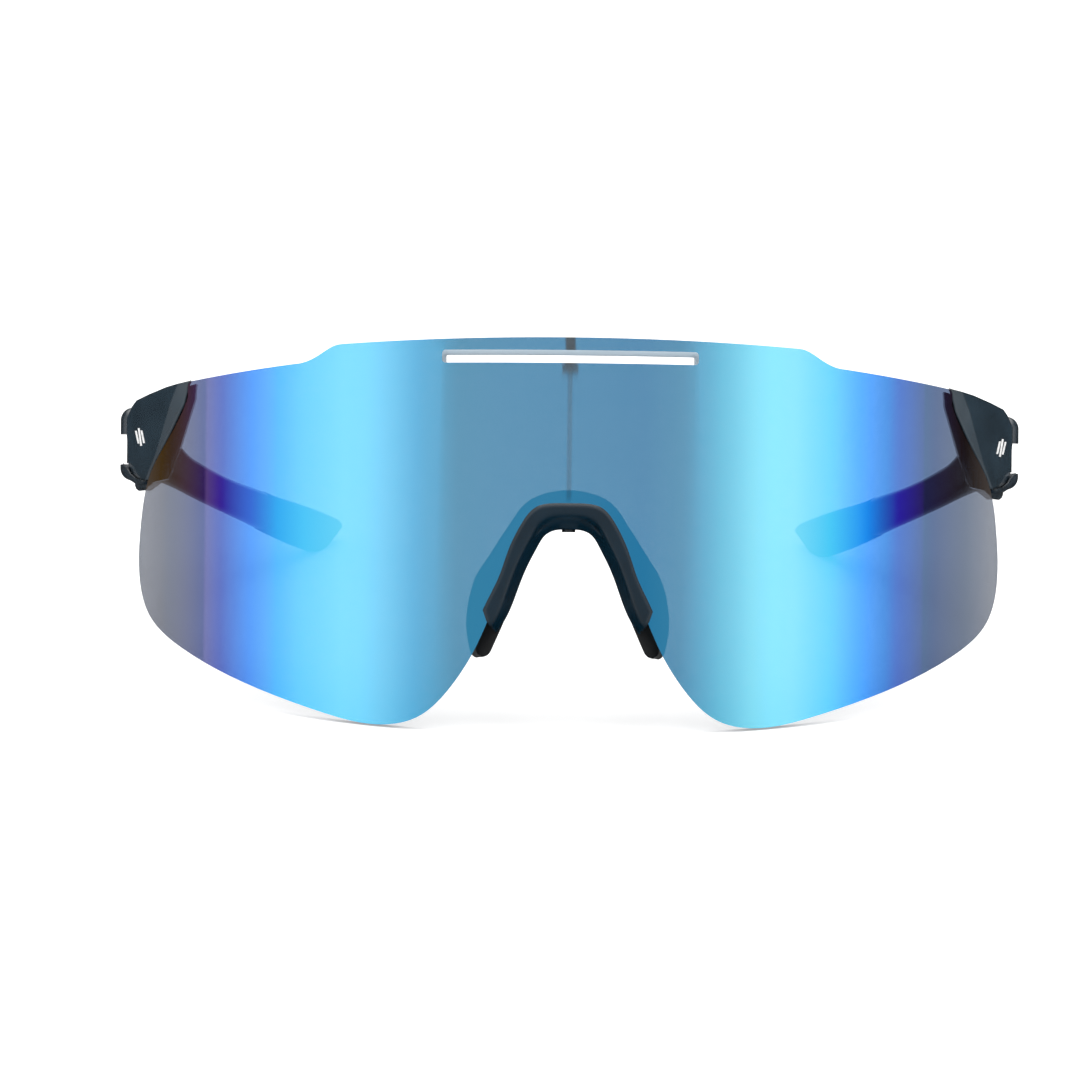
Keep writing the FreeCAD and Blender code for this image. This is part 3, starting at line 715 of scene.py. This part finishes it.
def smooth_line(half, count):
    """Even steps on a smooth line through a half outline and its mirror image."""
    line = [Vector(point) for point in half[::-1]] + [Vector((-x, z)) for x, z in half[1:]]
    line = [2 * line[0] - line[1]] + line + [2 * line[-1] - line[-2]]
    steps = []
    for index in range(count):
        place = index / (count - 1) * (len(line) - 3)
        first = min(int(place), len(line) - 4)
        f = place - first
        a, b, c, d = line[first:first + 4]
        steps.append(0.5 * (2 * b + (c - a) * f + (2 * a - 5 * b + 4 * c - d) * f ** 2
                            + (3 * b - a - 3 * c + d) * f ** 3))
    return steps


near_line = smooth_line(SADDLE_NEAR, STEPS)
far_line = smooth_line(SADDLE_FAR, STEPS)
print("saddle lines:", len(near_line), "steps")

# %% Saddle section
# How far back from 0 to 1, and side of the wall from -1 inside to 1 outside.
SADDLE_RING = [(0.00, -0.88), (0.06, -1.0), (0.25, -1.0), (0.45, -1.0), (0.65, -1.0), (0.85, -1.0),
               (0.95, -0.86), (1.00, -0.45), (1.00, 0.45), (0.95, 0.86), (0.85, 1.0), (0.65, 0.95),
               (0.45, 0.92), (0.25, 0.95), (0.06, 1.0), (0.00, 0.88)]
HALF_WALL_MM = 1.28
RIB_MM = 0.16
# The back of the clip is a cylinder too; in its middle a boss for the screw stands further out.
CLIP_BACK_RADIUS_MM = 85.0
CLIP_AXIS_MM = 88.05
BOSS_MM = 2.75


def saddle_ring(index, stretch, squeeze):
    """Points of one section, moved on past the end of the line and squeezed to round a foot."""
    ring = []
    for back, side in SADDLE_RING:
        here = near_line[index].lerp(far_line[index], back)
        ahead = min(index + 1, len(near_line) - 1)
        behind = max(index - 1, 0)
        along = (near_line[ahead].lerp(far_line[ahead], back)
                 - near_line[behind].lerp(far_line[behind], back)).normalized()
        out = Vector((along[1], -along[0]))
        ribbed = side < 0 and 0.3 < back < 0.9
        rib = RIB_MM * math.sin(index * math.pi / 3) ** 2 if ribbed else 0.0
        spot = here + along * stretch + out * side * (HALF_WALL_MM - rib) * squeeze
        near = CLIP_AXIS_MM - math.sqrt(CLIP_BACK_RADIUS_MM ** 2 - spot[0] ** 2)
        near += BOSS_MM * min(1.0, max(0.0, (4.2 - abs(spot[0])) / 1.6))
        ring.append(upright(spot[0], near + back * (SADDLE_BACK_MM - near), spot[1]))
    return ring


last = len(near_line) - 1
# How far past the end, in half wall widths, and how thin the wall is there.
FOOT = [(0.50, 0.87), (0.87, 0.50), (0.97, 0.22)]
rings = [saddle_ring(0, -HALF_WALL_MM * far, thin) for far, thin in FOOT[::-1]]
rings += [saddle_ring(index, 0.0, 1.0) for index in range(last + 1)]
rings += [saddle_ring(last, HALF_WALL_MM * far, thin) for far, thin in FOOT]
print("saddle:", len(rings), "sections of", len(rings[0]), "points")


# %% Saddle mesh
def swept_mesh(name, rings):
    """Closed smooth mesh through rings of equal count, with its two ends capped."""
    count = len(rings[0])
    build = bmesh.new()
    grid = [[build.verts.new(point) for point in ring] for ring in rings]
    for before, after in zip(grid, grid[1:]):
        for index in range(count):
            following = (index + 1) % count
            build.faces.new((before[index], before[following], after[following], after[index]))
    build.faces.new(grid[0][::-1])
    build.faces.new(grid[-1])
    bmesh.ops.recalc_face_normals(build, faces=build.faces)
    mesh = bpy.data.meshes.new(name)
    build.to_mesh(mesh)
    build.free()
    for face in mesh.polygons:
        face.use_smooth = True
    piece = bpy.data.objects.new(name, mesh)
    bpy.context.scene.collection.objects.link(piece)
    return piece


saddle = swept_mesh("nose_saddle", rings)
rounding = saddle.modifiers.new("rounding", "SUBSURF")
rounding.levels = 1
rounding.render_levels = 2
saddle.data.materials.append(soft_black)
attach(saddle, "front")
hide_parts("nose_pad")
print("saddle faces:", len(saddle.data.polygons))

# %% [markdown]
# ## Grip ribs on the temple tips
# The rubber tips press on the head just behind the ears, so their inner faces carry a row of
# low upright ribs. Each is a short round bead that thins out at both ends, sunk
# halfway into the rubber. One curve object holds a side's whole row.

# %% Grip ribs
# Place back along the temple, then the tip's middle there: across, up, and width.
TIP_MM = [(128.0, 58.4, 4.1, 4.05), (144.0, 55.0, 2.35, 4.6), (158.0, 51.8, 0.8, 4.6)]
RIB_COUNT = 11
FIRST_RIB_MM = 130.0
RIB_STEP_MM = 2.1
# Height along one rib in millimetres, and how thick it is there.
RIB_SHAPE = ((-2.1, 0.2), (-1.7, 0.8), (0, 1), (1.7, 0.8), (2.1, 0.2))


def tip_at(back):
    """Middle of the tip and its width, this far back along the temple."""
    for start, end in zip(TIP_MM, TIP_MM[1:]):
        if back <= end[0]:
            break
    share = (back - start[0]) / (end[0] - start[0])
    return [a + (b - a) * share for a, b in zip(start, end)]


for wearer_side, sign in (("left", 1), ("right", -1)):
    curve = bpy.data.curves.new(wearer_side + "_tip_ribs", "CURVE")
    curve.dimensions = "3D"
    curve.bevel_depth = 0.00038
    curve.bevel_resolution = 3
    curve.use_fill_caps = True
    for number in range(RIB_COUNT):
        back, across_mm, up, width = tip_at(FIRST_RIB_MM + RIB_STEP_MM * number)
        inner = across_mm - width / 2 + 0.12
        spline = curve.splines.new("NURBS")
        spline.points.add(len(RIB_SHAPE) - 1)
        for point, (rise, thick) in zip(spline.points, RIB_SHAPE):
            point.co = (*upright(sign * inner, back, up + rise), 1)
            point.radius = thick
        spline.use_endpoint_u = True
        spline.order_u = 3
    ribs = bpy.data.objects.new(wearer_side + "_tip_ribs", curve)
    bpy.context.scene.collection.objects.link(ribs)
    curve.materials.append(soft_black)
    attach(ribs, wearer_side + "_temple")
    print(ribs.name, RIB_COUNT, "ribs")

# %% [markdown]
# ## Printed mark on the covers
# Each cover carries a small white mark, pad-printed on its glossy side. Here it is a plain sign of
# three slanted bars. The bars are laid on the cover by casting points straight back on to its
# surface, then lifted by a hair's breadth and given the thickness of a layer of ink.

# %% White ink
white_ink = bpy.data.materials.new("white_ink")
white_ink.use_nodes = True
tree = white_ink.node_tree
link = tree.links.new
ink = tree.nodes["Principled BSDF"]; ink.label = "ink"
ink.inputs["Roughness"].default_value = 0.45
ink_place = tree.nodes.new("ShaderNodeTexCoord"); ink_place.label = "place on the mark"
ink_place.location = (-700, 100)
ink_spread = tree.nodes.new("ShaderNodeTexNoise"); ink_spread.label = "thin spots in the print"
ink_spread.location = (-500, 100)
ink_spread.inputs["Scale"].default_value = 1800.0
ink_shade = tree.nodes.new("ShaderNodeValToRGB"); ink_shade.label = "full and thin ink"
ink_shade.location = (-300, 100)
fill_ramp(ink_shade, [(0.25, 0.62), (0.60, 0.85)])
link(ink_place.outputs["Object"], ink_spread.inputs["Vector"])
link(ink_spread.outputs["Fac"], ink_shade.inputs["Fac"])
link(ink_shade.outputs["Color"], ink.inputs["Base Color"])
print("ink:", len(tree.nodes), "nodes")

# %% Marks
# Middle of each mark across and up, in upright millimetres.
MARK_MM = {"left": (72.4, 16.2), "right": (-71.9, 16.5)}
BAR_APART_MM = 0.62
HALF_BAR_MM = 0.19
SLANT = 0.22
straight_back = to_scene.to_3x3() @ Vector((0, 1, 0))
for wearer_side, (mark_x, mark_z) in MARK_MM.items():
    cover = nodes[wearer_side + "_end_cover"].data
    cover_skin = BVHTree.FromPolygons([v.co for v in cover.vertices],
                                      [f.vertices for f in cover.polygons])
    build = bmesh.new()
    for bar in (-1, 0, 1):
        rows = []
        for step in range(7):
            rise = -1.5 + 0.5 * step
            middle = mark_x + BAR_APART_MM * bar + SLANT * rise * (1 if mark_x > 0 else -1)
            rise_here = mark_z + rise * (1.0 if bar == 0 else 0.72)
            row = []
            for edge_mm in (-HALF_BAR_MM, HALF_BAR_MM):
                start = upright(middle + edge_mm, 20, rise_here)
                spot, normal, _, _ = cover_skin.ray_cast(start, straight_back)
                row.append(build.verts.new(spot + normal * 0.00003))
            rows.append(row)
        for low, high in zip(rows, rows[1:]):
            build.faces.new((low[0], low[1], high[1], high[0]))
    bmesh.ops.recalc_face_normals(build, faces=build.faces)
    mesh = bpy.data.meshes.new(wearer_side + "_cover_mark")
    build.to_mesh(mesh)
    build.free()
    mark = bpy.data.objects.new(wearer_side + "_cover_mark", mesh)
    bpy.context.scene.collection.objects.link(mark)
    ink_layer = mark.modifiers.new("ink layer", "SOLIDIFY")
    ink_layer.thickness = 0.00004
    ink_layer.offset = 0
    mesh.materials.append(white_ink)
    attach(mark, "front")
    print(mark.name, len(mesh.polygons), "faces")
